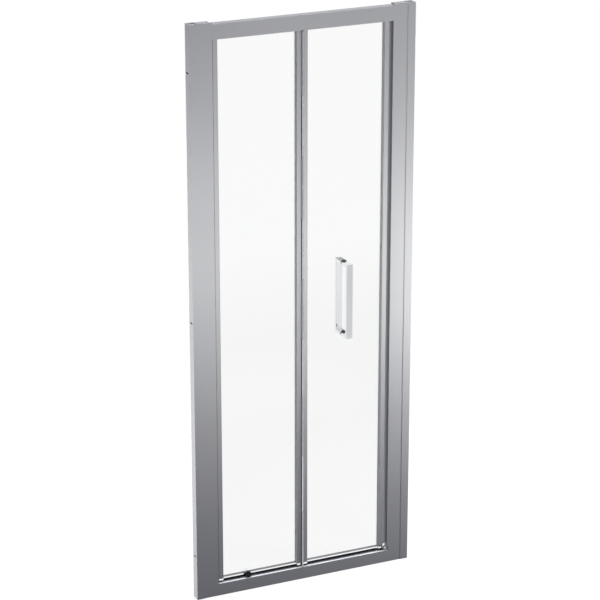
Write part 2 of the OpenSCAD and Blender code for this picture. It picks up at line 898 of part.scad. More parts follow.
// bottom guide: shoe in the groove, plate over the ledge, lug for the roller
module guide_carriage() {
    front = -lug_y;
    x0 = roller_offset - lug_w/2;
    at_wall(grey) translate([guide_u, 0, 0]) difference() {
        union() {
            translate([-shoe_l/2, -shoe_w/2, sill_h - shoe_h])
                cube([shoe_l, shoe_w, plate_z - sill_h + shoe_h + eps]);
            run_z(plate_z, plate_z + plate_t) {
                rounded2(-plate_side, -plate_back, plate_side + 2, plate_back, 2);
                box2(x0 - 0.4, -front, x0 + lug_w, 3);
            }
            translate([x0, lug_y, plate_z]) cube([lug_w, lug_t, roller_z + 4 - plate_z]);
            translate([0, 0, plate_z]) cylinder(d = bush_d - 4, h = sill_h + flange_t - plate_z);
        }
        translate([0, 0, sill_h - shoe_h - 1]) cylinder(r = bore_r, h = shoe_h + floor_gap + 2);
        translate([roller_offset, 0, roller_z])
            bar_y(axle_d/2 + 0.02, lug_y - 1, lug_y + lug_t + 1);
    }
}

// axle screw, riveted in the lug, with its head in the roller's recess
module roller_axle() {
    y0 = -roller_y + 0.4;
    at_wall(dark) translate([guide_u + roller_offset, 0, roller_z]) {
        bar_y(axle_d/2, y0 + eps, lug_y + lug_t);
        bar_y(axle_head_r, y0, y0 + axle_head_t);
    }
}

// roller with a recess in its front face
module guide_roller() {
    w = roller_w;
    at_wall(polished) translate([guide_u + roller_offset, -roller_y, roller_z])
        rotate([-90, 0, 0]) rotate_extrude($fn = 64) polygon([
            [axle_d/2 + pin_fit, 1.8], [axle_head_r + 0.6, 1.8], [axle_head_r + 0.6, 0],
            [roller_r - 0.6, 0], [roller_r, 0.6], [roller_r, w - 0.6],
            [roller_r - 0.6, w], [axle_d/2 + pin_fit, w]]);
}

// top guide: shoe in the head's groove with a flange below it
module top_guide_shoe() {
    at_wall(grey) translate([guide_u, 0, box_z]) difference() {
        union() {
            translate([-shoe_l/2, -shoe_w/2, -1.2]) cube([shoe_l, shoe_w, shoe_h + 1.2]);
            translate([0, 0, -top_flange_t]) cylinder(d = bush_d - 3, h = 2.2);
        }
        translate([0, 0, -top_flange_t - 1]) cylinder(r = bore_r, h = shoe_h + top_flange_t + 2);
    }
}

wall_channel_left();
wall_channel_right();
jamb_left();
jamb_right();
jamb_cap_left();
jamb_cap_right();
head_rail();
head_fascia();
sill_rail();
corner_screws();
fixing_screws();
screw_covers();
pivot_bush_bottom();
pivot_bush_top();
strike_seal();
pivot_seal();
travel_stop();
stop_screw();
pivot_glass();
pivot_stile();
hinge_stile_left();
pivot_bottom_rail();
pivot_top_rail();
pivot_glazing_beads();
pivot_drip_seal();
pivot_end_blocks();
pivot_pins();
centre_seal();
hinge_pin();
lead_glass();
lead_stile();
hinge_stile_right();
lead_bottom_rail();
lead_top_rail();
lead_glazing_beads();
lead_drip_seal();
lead_end_blocks();
lead_magnet();
guide_pins();
handle_outer();
handle_inner();
handle_studs();
handle_washers();
guide_carriage();
roller_axle();
guide_roller();
top_guide_shoe();
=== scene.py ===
# %% [markdown]
# # A bifold shower door
# This script dresses a finished construction model. The model comes in as a fixed frame: every
# extrusion, pane, pin and screw is already there at its real size, in metres, and grouped into the
# bodies that move. Nothing in it is moved or reshaped here. We give each piece its finish, and where
# a real edge is rounded, polished or moulded we model a finer piece and let it stand for the plain one.

# %% Load the frame
import json
import math

import bmesh
import bpy
from mathutils import Matrix, Quaternion, Vector


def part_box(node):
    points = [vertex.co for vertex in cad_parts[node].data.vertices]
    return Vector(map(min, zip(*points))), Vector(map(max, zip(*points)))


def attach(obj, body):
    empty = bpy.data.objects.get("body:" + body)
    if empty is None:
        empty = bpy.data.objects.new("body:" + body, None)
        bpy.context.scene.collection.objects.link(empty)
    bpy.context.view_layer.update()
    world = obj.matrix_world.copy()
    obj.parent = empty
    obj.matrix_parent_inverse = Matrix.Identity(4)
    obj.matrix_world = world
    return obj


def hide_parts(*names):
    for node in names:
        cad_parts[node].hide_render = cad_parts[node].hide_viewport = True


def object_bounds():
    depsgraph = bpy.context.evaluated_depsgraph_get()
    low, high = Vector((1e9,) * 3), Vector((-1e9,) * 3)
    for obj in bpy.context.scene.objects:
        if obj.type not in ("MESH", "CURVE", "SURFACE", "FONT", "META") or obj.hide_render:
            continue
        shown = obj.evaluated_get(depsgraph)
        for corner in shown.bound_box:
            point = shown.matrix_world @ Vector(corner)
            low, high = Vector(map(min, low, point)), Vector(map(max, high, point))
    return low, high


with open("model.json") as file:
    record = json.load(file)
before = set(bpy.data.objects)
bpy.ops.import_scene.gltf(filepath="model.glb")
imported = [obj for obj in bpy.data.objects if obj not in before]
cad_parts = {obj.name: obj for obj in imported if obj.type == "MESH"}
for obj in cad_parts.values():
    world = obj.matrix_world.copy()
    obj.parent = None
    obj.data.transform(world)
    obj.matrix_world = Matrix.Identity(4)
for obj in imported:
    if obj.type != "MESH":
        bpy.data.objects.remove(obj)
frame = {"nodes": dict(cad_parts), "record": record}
cad_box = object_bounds()
scene = bpy.context.scene
mm = 0.001
print("frame:", len(frame["nodes"]), "nodes", [round(v, 4) for v in (*cad_box[0], *cad_box[1])])

# %% [markdown]
# ## The camera
# A product picture of a tall door is taken from far off with a long lens, so its uprights stay almost
# parallel. The camera here stands 24.5 degrees to the left of the front and about 20 degrees above the
# door, seven metres away. Its place is written in metres and its aim as two angles, because an aim
# point would hide how level the camera is.

# %% Place the camera
CAMERA_AT = (-3.0083, -6.5775, 3.5495)
CAMERA_AZIMUTH = -24.53
CAMERA_ELEVATION = 19.63
PHOTO_SIZE = 600
FOCAL_PIXELS = 2420
SENSOR = 36

camera_data = bpy.data.cameras.new("camera")
camera = bpy.data.objects.new("camera", camera_data)
scene.collection.objects.link(camera)
camera_data.sensor_width = SENSOR
camera_data.lens = FOCAL_PIXELS * SENSOR / PHOTO_SIZE
turn, lift = math.radians(CAMERA_AZIMUTH), math.radians(CAMERA_ELEVATION)
backwards = Vector((math.sin(turn) * math.cos(lift), -math.cos(turn) * math.cos(lift), math.sin(lift)))
camera.location = CAMERA_AT
camera.rotation_mode = "QUATERNION"
camera.rotation_quaternion = (-backwards).to_track_quat("-Z", "Y")
camera_data.clip_end = 100
scene.camera = camera
scene.view_settings.view_transform = "Standard"
print("lens", round(camera_data.lens, 1), "mm")


# %% [markdown]
# ## Small helpers for nodes
# A finish is a node tree. These few lines keep the recipes below short: they make a material with a
# Principled shader, add a node, set plain values on a shader's sockets, and stretch a pattern over a
# range of numbers or colours.

# %% Helpers that make nodes
def new_material(name):
    """A material whose tree holds one Principled shader; returns the material, tree and shader."""
    material = bpy.data.materials.new(name)
    material.use_nodes = True
    tree = material.node_tree
    return material, tree, tree.nodes["Principled BSDF"]


def add(tree, kind, **values):
    """A new node; values are its properties or, where a socket has that name, its inputs."""
    node = tree.nodes.new(kind)
    for key, value in values.items():
        if hasattr(node, key):
            setattr(node, key, value)
        else:
            node.inputs[key.replace("_", " ")].default_value = value
    return node


def plain(shader, **values):
    """Numbers and colours that are the same all over the surface."""
    for key, value in values.items():
        shader.inputs[key.replace("_", " ")].default_value = value


def fade(tree, source, start, end, low, high):
    """Goes from low to high while source goes from start to end, and stays level beyond."""
    node = add(tree, "ShaderNodeMapRange", From_Min=start, From_Max=end, To_Min=low, To_Max=high)
    tree.links.new(source, node.inputs["Value"])
    return node.outputs["Result"]


def level(tree, pattern, low, high):
    """Stretches a 0 to 1 pattern over low to high."""
    return fade(tree, pattern, 0, 1, low, high)


def ramp(tree, source, low, high, start=0.3, end=0.7):
    """A two-colour ramp driven by source; returns its colour output."""
    node = add(tree, "ShaderNodeValToRGB")
    for stop, place, shade in zip(node.color_ramp.elements, (start, end), (low, high)):
        stop.position = place
        stop.color = (*shade, 1)
    tree.links.new(source, node.inputs["Fac"])
    return node.outputs["Color"]


def arithmetic(tree, operation, *terms, clamp=False):
    """A Math node on its terms, each the output of another node or a plain number."""
    node = add(tree, "ShaderNodeMath", operation=operation)
    node.use_clamp = clamp
    for socket, term in zip(node.inputs, terms):
        if isinstance(term, (int, float)):
            socket.default_value = term
        else:
            tree.links.new(term, socket)
    return node.outputs[0]


# %% Helpers for patterns on a surface
def noise(tree, stretch, scale, detail):
    """Noise on Object coordinates, stretched along the axes; returns its factor."""
    place = add(tree, "ShaderNodeTexCoord")
    mapping = add(tree, "ShaderNodeMapping", Scale=stretch)
    grain = add(tree, "ShaderNodeTexNoise", Scale=scale, Detail=detail)
    tree.links.new(place.outputs["Object"], mapping.inputs["Vector"])
    tree.links.new(mapping.outputs["Vector"], grain.inputs["Vector"])
    return grain.outputs["Fac"]


def bumped(tree, shader, height, distance, strength=0.3):
    """Feeds a height pattern to the shader's normal."""
    node = add(tree, "ShaderNodeBump", Strength=strength, Distance=distance)
    tree.links.new(height, node.inputs["Height"])
    tree.links.new(node.outputs["Normal"], shader.inputs["Normal"])


# %% [markdown]
# ## Satin anodised aluminium
# The frame is extruded, etched and anodised. The die leaves very fine lines along each bar, and the
# anodising turns the mirror of bare metal into a soft, slightly blue grey sheen. Noise stretched along
# the bar gives the lines; a second, broad noise keeps a two-metre upright from looking like plastic.
# The uprights run along Z and the rails along X, so the same recipe is made once for each direction.

# %% Make the anodised finish
ANODISED_DARK, ANODISED_LIGHT = (0.408, 0.410, 0.414), (0.430, 0.432, 0.436)
DIE_ALONG, DIE_ACROSS = 1.2, 900


def satin_anodised(name, along):
    material, tree, shader = new_material(name)
    die_lines = noise(tree, [DIE_ALONG if axis == along else DIE_ACROSS for axis in "XYZ"], 1.0, 2)
    broad = noise(tree, (1, 1, 1), 3.0, 2)
    tree.links.new(ramp(tree, broad, ANODISED_DARK, ANODISED_LIGHT), shader.inputs["Base Color"])
    tree.links.new(level(tree, die_lines, 0.42, 0.52), shader.inputs["Roughness"])
    plain(shader, Metallic=0.0, Specular_IOR_Level=0.22)
    bumped(tree, shader, die_lines, 0.00002, 0.25)
    return material


anodised_upright = satin_anodised("anodised_upright", "Z")
anodised_rail = satin_anodised("anodised_rail", "X")
print("anodised for", anodised_upright.name, "and", anodised_rail.name)


# %% [markdown]
# ## Polished metal
# The rails under the glass, the feet of the end blocks and the handles are bright: polished and
# chrome plated. A mirror has no colour of its own, so the base is almost white and fully metallic,
# and only a faint noise in the roughness hints at wiping and water. The hinge's barrel is rolled
# steel, a little greyer.

# %% Make the polished finishes
def bright_metal(name, shade, smooth, hazy, metallic=1.0):
    """A mirror whose roughness goes from smooth to hazy where it was wiped."""
    material, tree, shader = new_material(name)
    wipe = noise(tree, (1, 1, 0.3), 60.0, 4)
    tree.links.new(level(tree, wipe, smooth, hazy), shader.inputs["Roughness"])
    tint = ramp(tree, wipe, [c * 0.97 for c in shade], shade)
    tree.links.new(tint, shader.inputs["Base Color"])
    plain(shader, Metallic=metallic)
    bumped(tree, shader, wipe, 0.00001, 0.1)
    return material


chrome = bright_metal("chrome_plate", (0.90, 0.91, 0.92), 0.06, 0.12)
polished = bright_metal("polished_aluminium", (0.90, 0.91, 0.92), 0.12, 0.20)
steel = bright_metal("stainless_fastener", (0.56, 0.56, 0.57), 0.24, 0.36)
barrel_steel = bright_metal("rolled_barrel_steel", (0.60, 0.61, 0.63), 0.22, 0.32, 0.85)
print("bright:", [metal.name for metal in (chrome, polished, steel, barrel_steel)])


# %% [markdown]
# ## Painted highlight and shade on the ledge and webs
# The front of the sill's ledge is ground flat, so it spreads light instead of mirroring it, and its
# near-white base is a painted highlight. Its back and the hinge's inner webs are painted dark grey as shade.
# Both show the grinder's lines across the bar, so one recipe with two tones makes them.

# %% Make the painted highlight and shade flats
def painted_tone_flat(name, shade, gloss):
    material, tree, shader = new_material(name)
    grinding = noise(tree, (1.5, 700, 1), 1.0, 2)
    tint = ramp(tree, grinding, [c * 0.93 for c in shade], shade)
    tree.links.new(tint, shader.inputs["Base Color"])
    tree.links.new(level(tree, grinding, 0.35, 0.45), shader.inputs["Roughness"])
    plain(shader, Metallic=0.0, Specular_IOR_Level=gloss)
    bumped(tree, shader, grinding, 0.00002, 0.2)
    return material


# The ledge's front gets a near-white base as a painted highlight.
ledge_painted_highlight = painted_tone_flat("ground_ledge", (0.84, 0.85, 0.87), 0.5)
# The ledge's back and the hinge's webs get a dark grey base as painted shade.
matt_grey = painted_tone_flat("matt_grey", (0.17, 0.173, 0.185), 0.2)
print("flats:", ledge_painted_highlight.name, matt_grey.name)


# %% [markdown]
# ## Moulded parts and seals
# Nylon, vinyl and rubber are dielectric and rough. They differ in tone, in gloss and in the grain that
# the mould leaves, so one recipe covers the caps, the guides, the grey strike profile, the black seals
# and the bumper. The strike profile and the beads have some metal pigment in them.

# %% Make the moulded finishes
def moulded(name, shade, roughness, grain=900.0, depth=0.00003, gloss=0.5, flake=0.0):
    """gloss is the strength of the clear reflection, flake the share of metal pigment in the vinyl."""
    material, tree, shader = new_material(name)
    pores = noise(tree, (1, 1, 1), grain, 2)
    lighter = [min(1, c * 1.25 + 0.004) for c in shade]
    tree.links.new(ramp(tree, pores, shade, lighter), shader.inputs["Base Color"])
    tree.links.new(level(tree, pores, roughness - 0.06, roughness + 0.06), shader.inputs["Roughness"])
    plain(shader, Metallic=flake, Specular_IOR_Level=gloss)
    bumped(tree, shader, pores, depth)
    return material


moulding = moulded("grey_nylon", (0.060, 0.062, 0.066), 0.5)
cap_moulding = moulded("silver_grey_cap", (0.36, 0.365, 0.38), 0.5, gloss=0.25)
strike = moulded("strike_vinyl", (0.340, 0.345, 0.360), 0.5, flake=0.8)
bead_vinyl = moulded("bead_vinyl", (0.34, 0.34, 0.35), 0.5, flake=0.4)
roller_nylon = moulded("roller_nylon", (0.27, 0.275, 0.29), 0.4)
seal = moulded("black_vinyl", (0.012, 0.012, 0.013), 0.5, gloss=0.3)
bumper = moulded("bumper_rubber", (0.004, 0.009, 0.009), 0.35, 500.0, gloss=0.15)
print("moulded:", [m.name for m in (moulding, cap_moulding, strike, bead_vinyl, roller_nylon, seal, bumper)])


# %% [markdown]
# ## Clear glass
# Toughened glass is almost colourless across its faces. The shader is a full transmission shader;
# light on its way to a lamp passes straight through, because a renderer would otherwise draw a pane's
# shadow as dark as a board's. The faint waviness is the float line's. The base colour of the lower half
# is a shade greyer: it gets darker towards the bottom.

# %% Make the glass
# The base colour goes from GLASS_LOW at the bottom to GLASS_HIGH at the top, darker towards the bottom.
GLASS_LOW, GLASS_HIGH = (0.850, 0.851, 0.852), (0.952, 0.954, 0.953)
GREYER_BELOW, CLEAR_ABOVE = 0.55, 1.15


def clear_glass(name):
    material, tree, shader = new_material(name)
    ripple = noise(tree, (1, 1, 0.25), 2.5, 1)
    bumped(tree, shader, ripple, 0.0004, 0.04)
    place = add(tree, "ShaderNodeTexCoord")
    axes = add(tree, "ShaderNodeSeparateXYZ")
    tree.links.new(place.outputs["Object"], axes.inputs["Vector"])
    height = fade(tree, axes.outputs["Z"], GREYER_BELOW, CLEAR_ABOVE, 0, 1)
    tree.links.new(ramp(tree, height, GLASS_LOW, GLASS_HIGH, 0.0, 1.0), shader.inputs["Base Color"])
    plain(shader, Roughness=0.0, IOR=1.5, Transmission_Weight=1.0)
    clear = add(tree, "ShaderNodeBsdfTransparent", Color=(0.95, 0.97, 0.965, 1))
    path = add(tree, "ShaderNodeLightPath")
    mix = add(tree, "ShaderNodeMixShader")
    tree.links.new(path.outputs["Is Shadow Ray"], mix.inputs["Fac"])
    tree.links.new(shader.outputs["BSDF"], mix.inputs[1])
    tree.links.new(clear.outputs["BSDF"], mix.inputs[2])
    tree.links.new(mix.outputs["Shader"], tree.nodes["Material Output"].inputs["Surface"])
    return material


glass = clear_glass("clear_glass")
print("glass:", glass.name)

# %% [markdown]
# ## One finish for every piece
# A table by material keeps the names together: each line says which pieces of the door share a finish.

# %% Give each node its finish
FINISHES = [
    (anodised_upright, ["wall_channel_left", "wall_channel_right", "jamb_left", "jamb_right",
                        "pivot_stile", "hinge_stile_left", "hinge_stile_right", "lead_stile"]),
    (anodised_rail, ["head_rail", "head_fascia", "sill_rail", "pivot_top_rail", "lead_top_rail"]),
    (polished, ["pivot_bottom_rail", "lead_bottom_rail", "pivot_end_blocks", "lead_end_blocks"]),
    (chrome, ["handle_outer", "handle_inner", "screw_covers", "roller_axle"]),
    (steel, ["corner_screws", "fixing_screws", "stop_screw", "pivot_pins", "guide_pins",
             "hinge_pin", "handle_studs"]),
    (moulding, ["pivot_bush_bottom", "pivot_bush_top", "handle_washers", "guide_carriage",
                "top_guide_shoe"]),
    (cap_moulding, ["jamb_cap_left", "jamb_cap_right"]),
    (roller_nylon, ["guide_roller"]),
    (strike, ["strike_seal"]),
    (bead_vinyl, ["pivot_glazing_beads", "lead_glazing_beads"]),
    (seal, ["pivot_seal", "pivot_drip_seal", "lead_drip_seal", "centre_seal", "lead_magnet"]),
    (bumper, ["travel_stop"]),
    (glass, ["pivot_glass", "lead_glass"]),
]
finish_of = {}
for material, names in FINISHES:
    for name in names:
        node = frame["nodes"][name]
        node.data.materials.clear()
        node.data.materials.append(material)
        finish_of[name] = material
print("finished", len(finish_of), "of", len(frame["nodes"]), "nodes")

# %% [markdown]
# ## Broken edges
# No extrusion has a knife edge: the die's corner, the deburring tool and the polish all leave a small
# round that catches a line of light. The frame's meshes are loose triangles with sharp corners, so we
# copy one, weld it, join its flat faces again and run a small Bevel over its sharp edges. Weighted
# normals keep the faces between the rounds flat to the eye. The copy then stands for the plain node.

# %% Helpers that copy and round a piece
bodies = frame["record"]["behaviour"]["bodies"]
body_of = {node: body for body, nodes in bodies.items() for node in nodes}


def select_only(piece):
    bpy.ops.object.select_all(action="DESELECT")
    piece.select_set(True)
    bpy.context.view_layer.objects.active = piece


def apply_modifiers(piece):
    select_only(piece)
    for modifier in list(piece.modifiers):
        bpy.ops.object.modifier_apply(modifier=modifier.name)


def stand_for(piece, node):
    """The new piece takes over a node's place in the assembly."""
    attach(piece, body_of[node])
    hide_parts(node)
    piece.data.materials.clear()
    piece.data.materials.append(finish_of[node])


def welded_copy(node):
    """A copy of a node's mesh with its triangles joined to whole faces, ready to be worked on."""
    source = frame["nodes"][node]
    piece = bpy.data.objects.new(node + "_finished", source.data.copy())
    scene.collection.objects.link(piece)
    select_only(piece)
    bpy.ops.object.mode_set(mode="EDIT")
    bpy.ops.mesh.select_all(action="SELECT")
    bpy.ops.mesh.remove_doubles(threshold=0.01 * mm)
    bpy.ops.mesh.customdata_custom_splitnormals_clear()
    bpy.ops.mesh.dissolve_limited(angle_limit=math.radians(0.5))
    bpy.ops.object.mode_set(mode="OBJECT")
    return piece


def round_edges(piece, width, segments=2):
    """Rounds every edge sharper than 35 degrees and keeps the flat faces flat."""
    bevel = piece.modifiers.new("edges", "BEVEL")
    bevel.width = width
    bevel.segments = segments
    bevel.limit_method = "ANGLE"
    bevel.angle_limit = math.radians(35)
    bevel.use_clamp_overlap = True
    apply_modifiers(piece)
    bpy.ops.object.shade_smooth_by_angle(angle=math.radians(30))
    weights = piece.modifiers.new("flat faces stay flat", "WEIGHTED_NORMAL")
    weights.keep_sharp = True
    apply_modifiers(piece)


def soften(node, width):
    piece = welded_copy(node)
    round_edges(piece, width)
    stand_for(piece, node)
    return piece


# %% Round each piece's edges, by these widths in mm
SOFT_EDGES = {
    "wall_channel_left": 0.5, "wall_channel_right": 0.35, "jamb_left": 0.7, "jamb_right": 0.4,
    "head_rail": 0.35, "head_fascia": 0.3, "sill_rail": 0.35, "pivot_stile": 0.3, "lead_stile": 0.3,
    "hinge_stile_left": 0.25, "hinge_stile_right": 0.25, "pivot_bottom_rail": 0.3,
    "lead_bottom_rail": 0.3, "pivot_top_rail": 0.3, "lead_top_rail": 0.3,
    "pivot_end_blocks": 0.4, "lead_end_blocks": 0.4, "screw_covers": 0.8, "guide_roller": 0.5,
    "pivot_drip_seal": 0.6, "lead_drip_seal": 0.6, "strike_seal": 0.5,
    "pivot_seal": 0.2, "centre_seal": 0.3, "lead_magnet": 0.2, "jamb_cap_left": 0.4,
    "jamb_cap_right": 0.4, "pivot_bush_bottom": 0.4, "pivot_bush_top": 0.4, "guide_carriage": 0.4,
    "top_guide_shoe": 0.4, "handle_washers": 0.25,
}
softened = {}
for name, width in SOFT_EDGES.items():
    softened[name] = soften(name, width * mm)
    print("softened", name, len(softened[name].data.polygons), "faces")


# %% [markdown]
# ## Two finishes on one piece
# Some pieces are bright only in part. The front of the sill's ledge is painted near white as a highlight and
# its back dark grey as shade, the end blocks show a polished foot below the stile's line, and the hinge's
# barrel is rolled steel between satin stiles, its webs painted dark grey as shade. A second material slot
# and a rule on each face's place and normal say which faces are which. Where a face runs on past the line,
# it is cut there first.

# %% Helpers that cut and refinish
def second_finish(piece, material, chosen):
    """Gives the faces for which chosen(centre, normal) is true another material."""
    piece.data.materials.append(material)
    count = 0
    for face in piece.data.polygons:
        if chosen(face.center, face.normal):
            face.material_index = len(piece.data.materials) - 1
            count += 1
    print(piece.name, "has", count, "faces in", material.name)


def cut_plane(piece, point, normal):
    """Cuts a piece's faces along a plane, so that a finish can change or an arm can start there."""
    select_only(piece)
    bpy.ops.object.mode_set(mode="EDIT")
    bpy.ops.mesh.select_all(action="SELECT")
    bpy.ops.mesh.bisect(plane_co=point, plane_no=normal)
    bpy.ops.object.mode_set(mode="OBJECT")


# %% End blocks and ledge
LEDGE_BACK = -11 * mm
rail_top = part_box("pivot_bottom_rail")[1][2]
sill_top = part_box("sill_rail")[1][2]

for name in ("pivot_end_blocks", "lead_end_blocks"):
    cut_plane(softened[name], (0, 0, rail_top), (0, 0, 1))
    second_finish(softened[name], anodised_upright, lambda at, normal: at.z > rail_top)


def on_ledge(at, normal):
    return normal.z > 0.5 and at.z > sill_top - 1 * mm


sill = softened["sill_rail"]
cut_plane(sill, (0, LEDGE_BACK, 0), (0, 1, 0))
# The ledge's front top faces are painted near white as a highlight.
second_finish(sill, ledge_painted_highlight, lambda at, normal: on_ledge(at, normal) and at.y < LEDGE_BACK)
# The ledge's back top faces are painted dark grey as shade.
second_finish(sill, matt_grey, lambda at, normal: on_ledge(at, normal) and at.y > LEDGE_BACK)

# %% [markdown]
# ### The hinge's barrel
# Everything within the barrel's radius of the pin is rolled steel. To its left the webs that carry the
# knuckles lie in the gap between the two stiles, where hardly any light comes, so their fronts are painted
# dark grey as that shade.

# %% Barrel and webs
BARREL_RADIUS = 2.95 * mm
WEB_SHADE = -11 * mm
pin_low, pin_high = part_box("hinge_pin")
hinge_x, hinge_y = (pin_low[0] + pin_high[0]) / 2, (pin_low[1] + pin_high[1]) / 2
web_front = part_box("pivot_stile")[0][1] - 0.3 * mm
web_end = hinge_x - 1.5 * mm

for name in ("hinge_stile_left", "hinge_stile_right"):
    second_finish(softened[name], barrel_steel,
                  lambda at, normal: math.hypot(at.x - hinge_x, at.y - hinge_y) < BARREL_RADIUS)
# The webs' fronts are painted dark grey as the shade in the gap between the stiles.
cut_plane(softened["hinge_stile_left"], (WEB_SHADE, 0, 0), (1, 0, 0))
second_finish(softened["hinge_stile_left"], matt_grey,
              lambda at, normal: WEB_SHADE < at.x < web_end and normal.y < -0.5 and at.y < web_front)


# %% [markdown]
# ## Pieces worked in edit mode
# Some forms need more than a rounded edge. Each starts from a plain body at its real size and place and
# is then worked on selected faces. A short rule on a face's place and normal does the selecting.

# %% Helpers for edit mode
def pick_faces(piece, chosen):
    """Enters edit mode with only the faces selected for which chosen(centre, normal) is true."""
    select_only(piece)
    bpy.ops.object.mode_set(mode="EDIT")
    bpy.ops.mesh.select_mode(type="FACE")
    bpy.ops.mesh.select_all(action="DESELECT")
    work = bmesh.from_edit_mesh(piece.data)
    for face in work.faces:
        face.select_set(chosen(face.calc_center_median(), face.normal))
    bmesh.update_edit_mesh(piece.data)


def extrude_by(x, y, z):
    bpy.ops.mesh.extrude_region_move(TRANSFORM_OT_translate={"value": (x, y, z)})


def leave_edit():
    bpy.ops.object.mode_set(mode="OBJECT")


def block(name, low, high):
    """A closed block from corner to corner, with its place in the mesh."""
    bpy.ops.object.select_all(action="DESELECT")
    middle = [(a + b) / 2 for a, b in zip(low, high)]
    bpy.ops.mesh.primitive_cube_add(size=1, location=middle)
    piece = bpy.context.object
    piece.name = name
    piece.scale = [b - a for a, b in zip(low, high)]
    bpy.ops.object.transform_apply(location=True, rotation=True, scale=True)
    return piece


# %% [markdown]
# ### The pull handles
# Each handle is one flat bar bent back to the glass at both ends. It starts as the upright bar; two cuts
# mark the arms' height, the marked faces are drawn out to the glass, and every edge is rounded, because
# chrome plating thins on a sharp one.

# %% Model both handles
BAR_THICK = 9 * mm
ARM_HIGH = 10 * mm
HANDLE_ROUND = 1.3 * mm


def pull_handle(node, outward):
    """outward is -1 for the handle in front of the glass and 1 for the one behind it."""
    low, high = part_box(node)
    bar_face, glass_face = (low[1], high[1]) if outward < 0 else (high[1], low[1])
    bar_back = bar_face - outward * BAR_THICK
    near, far = sorted((bar_face, bar_back))
    piece = block(node + "_bar", (low[0], near, low[2]), (high[0], far, high[2]))
    arm_low, arm_high = low[2] + ARM_HIGH, high[2] - ARM_HIGH
    cut_plane(piece, (0, 0, arm_low), (0, 0, 1))
    cut_plane(piece, (0, 0, arm_high), (0, 0, 1))
    pick_faces(piece, lambda at, normal: normal.y * outward < -0.9 and not arm_low < at.z < arm_high)
    extrude_by(0, glass_face - bar_back, 0)
    leave_edit()
    round_edges(piece, HANDLE_ROUND, segments=3)
    stand_for(piece, node)
    print(node, "made of", len(piece.data.polygons), "faces")


pull_handle("handle_outer", -1)
pull_handle("handle_inner", 1)


# %% [markdown]
# ### Bumper and axle head
# The rubber bumper on the ledge has a dished face. The roller's axle has a socket for the key that sets
# it, its floor painted black as the shade inside. Both are the same operation: an inset leaves a rim, and
# the middle is pushed in.

# %% Sink the bumper's face and the axle's socket
def dished(node, rim, depth, rounding):
    """Sinks the faces that look outwards (-Y) inside a rim; returns the piece and the sunk face's y."""
    piece = welded_copy(node)
    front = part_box(node)[0][1]
    pick_faces(piece, lambda at, normal: normal.y < -0.9 and at.y < front + 0.3 * mm)
    bpy.ops.mesh.inset(thickness=rim, depth=0)
    extrude_by(0, depth, 0)
    leave_edit()
    round_edges(piece, rounding)
    stand_for(piece, node)
    print(node, "sunk by", round(depth / mm, 1), "mm")
    return piece, front + depth


dished("travel_stop", 3.2 * mm, 0.9 * mm, 0.7 * mm)
axle, socket_y = dished("roller_axle", 1.5 * mm, 0.8 * mm, 0.2 * mm)
# The socket's floor is painted black as the shade in the recess.
second_finish(axle, seal, lambda at, normal: normal.y < -0.9 and abs(at.y - socket_y) < 0.24 * mm)

# %% [markdown]
# ### Glazing beads
# The beads under the panes are low: only a thin grey line shows above the bright rail. Their top faces
# are moved down as a whole, which keeps the beads' width and their seat on the rail.

# %% Lower the beads
BEAD_SHOWS = 3 * mm
BEAD_ROUND = 0.3 * mm
TOPS_FROM, TOPS_TO = rail_top + 4 * mm, rail_top + 8 * mm

for name in ("pivot_glazing_beads", "lead_glazing_beads"):
    beads = welded_copy(name)
    pick_faces(beads, lambda at, normal: normal.z > 0.9 and TOPS_FROM < at.z < TOPS_TO)
    chosen = [face for face in bmesh.from_edit_mesh(beads.data).faces if face.select]
    bead_top = max(face.calc_center_median().z for face in chosen)
    print(name, "shows", BEAD_SHOWS / mm, "mm above the rail;", len(chosen), "top faces lowered")
    bpy.ops.transform.translate(value=(0, 0, rail_top + BEAD_SHOWS - bead_top))
    leave_edit()
    round_edges(beads, BEAD_ROUND)
    stand_for(beads, name)

# %% [markdown]
# ### End plugs of the wall channels and jambs
# The jamb leaves a narrow pocket in each wall channel, and its outer chamber is open at the top. Seen
# from above both are closed by small moulded plugs, sunk a little in the middle where they are pushed
# home. The frame's record lists the open pockets, so each plug takes its outline from there. A plug is
# modelled once, on the left, and its twin on the right is a copy with its own mesh.

# %% Close the channels' pockets and the jambs' outer chambers
PLUG_LONG = 4.5 * mm
PLUG_RIM = 1.2 * mm
PLUG_SUNK = 0.4 * mm
PLUG_ROUND = 0.3 * mm
PLUGS = [  # name, pocket, play around the plug and its distance below the door's top
    ("channel_plug", "channel_pocket_left", 0.0, 0.5 * mm),
    ("jamb_plug", "jamb_hollow_left_outer", 0.2 * mm, 1.8 * mm),
]
pockets = {pocket["name"]: pocket["box_m"] for pocket in frame["record"]["physics"]["openings"]}


def fix_in_frame(plug):
    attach(plug, "root")


def left_plug(kind, pocket, play, below):
    low, high = pockets[pocket]
    top = cad_box[1][2] - below
    plug = block(kind + "_left", (low[0] + play, low[1] + play, top - PLUG_LONG),
                 (high[0] - play, high[1] - play, top))
    pick_faces(plug, lambda at, normal: normal.z > 0.9)
    bpy.ops.mesh.inset(thickness=PLUG_RIM, depth=0)
    extrude_by(0, 0, -PLUG_SUNK)
    leave_edit()
    round_edges(plug, PLUG_ROUND)
    plug.data.materials.append(cap_moulding)
    fix_in_frame(plug)
    return plug


plugs = {kind: left_plug(kind, pocket, play, below) for kind, pocket, play, below in PLUGS}
for kind, pocket, play, below in PLUGS:
    low, high = pockets[pocket]
    twin = bpy.data.objects.new(kind + "_right", plugs[kind].data.copy())
    scene.collection.objects.link(twin)
    twin.data.transform(Matrix.Translation((-low[0] - high[0], 0, 0)))
    fix_in_frame(twin)
    print(kind, "pair made of", len(twin.data.polygons), "faces each")


